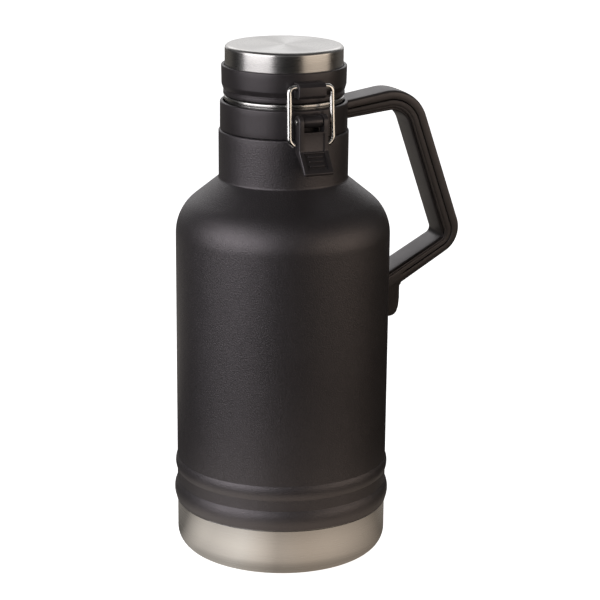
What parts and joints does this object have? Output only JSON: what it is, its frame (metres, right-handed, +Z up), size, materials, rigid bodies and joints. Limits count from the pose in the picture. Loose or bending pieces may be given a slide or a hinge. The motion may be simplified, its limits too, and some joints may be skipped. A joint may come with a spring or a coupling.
{
  "type": "insulated growler",
  "caption": "Double-walled steel growler for beer, with a hinged lid held by a toggle latch and wire bail, and a side carrying handle.",
  "frame": {"origin": "centre of the flat underside, on the bottle's axis", "axes": "+Z up along the bottle's axis, +X towards the handle, -Y towards the latch, +Y towards the lid's hinge"},
  "size_m": [0.1654, 0.1216, 0.288],
  "materials": {
    "powder_coat_black": "fine-grained matt black powder coat",
    "brushed_steel": "brushed round the axis",
    "plain_steel": "plain mill or pressed steel",
    "moulded_plastic_black": "satin moulded plastic",
    "grip_black": "fine-textured grip plastic",
    "polished_wire": "bright polished steel wire",
    "silicone_black": "matt silicone",
    "insulating_foam": "pale rigid foam"
  },
  "bodies": {
    "bottle": {"outer_shell": "powder_coat_black", "base_cup": "brushed_steel", "inner_liner": "brushed_steel", "mouth_ring": "brushed_steel", "vacuum_bottom": "plain_steel", "vacuum_seal": "plain_steel", "getter": "plain_steel", "neck_collar": "moulded_plastic_black", "handle_frame": "moulded_plastic_black", "handle_grip": "grip_black", "handle_bracket": "plain_steel", "handle_screw_lower": "plain_steel", "handle_screw_upper_left": "plain_steel", "handle_screw_upper_right": "plain_steel", "lever_pin": "plain_steel", "hinge_pin": "plain_steel"},
    "lid": {"lid_body": "moulded_plastic_black", "lid_cap": "brushed_steel", "lid_insulation": "insulating_foam", "lid_gasket": "silicone_black", "latch_catch": "moulded_plastic_black", "hinge_leaf": "plain_steel", "catch_screw_left": "plain_steel", "catch_screw_right": "plain_steel", "hinge_screw_left": "plain_steel", "hinge_screw_right": "plain_steel"},
    "bail": {"latch_bail": "polished_wire"},
    "lever": {"latch_lever": "moulded_plastic_black"}
  },
  "joints": [
    {"name": "lid_hinge", "type": "hinge", "parent": "bottle", "child": "lid", "pos_m": [0, 0.0395, 0.2606], "axis": [-1, 0, 0], "range_deg": [0, 105]},
    {"name": "bail_swing", "type": "hinge", "parent": "lid", "child": "bail", "pos_m": [0, -0.0372, 0.2704], "axis": [-1, 0, 0], "range_deg": [0, 95]},
    {"name": "lever_pivot", "type": "hinge", "parent": "bottle", "child": "lever", "pos_m": [0, -0.039, 0.2523], "axis": [-1, 0, 0], "range_deg": [0, 110]}
  ]
}
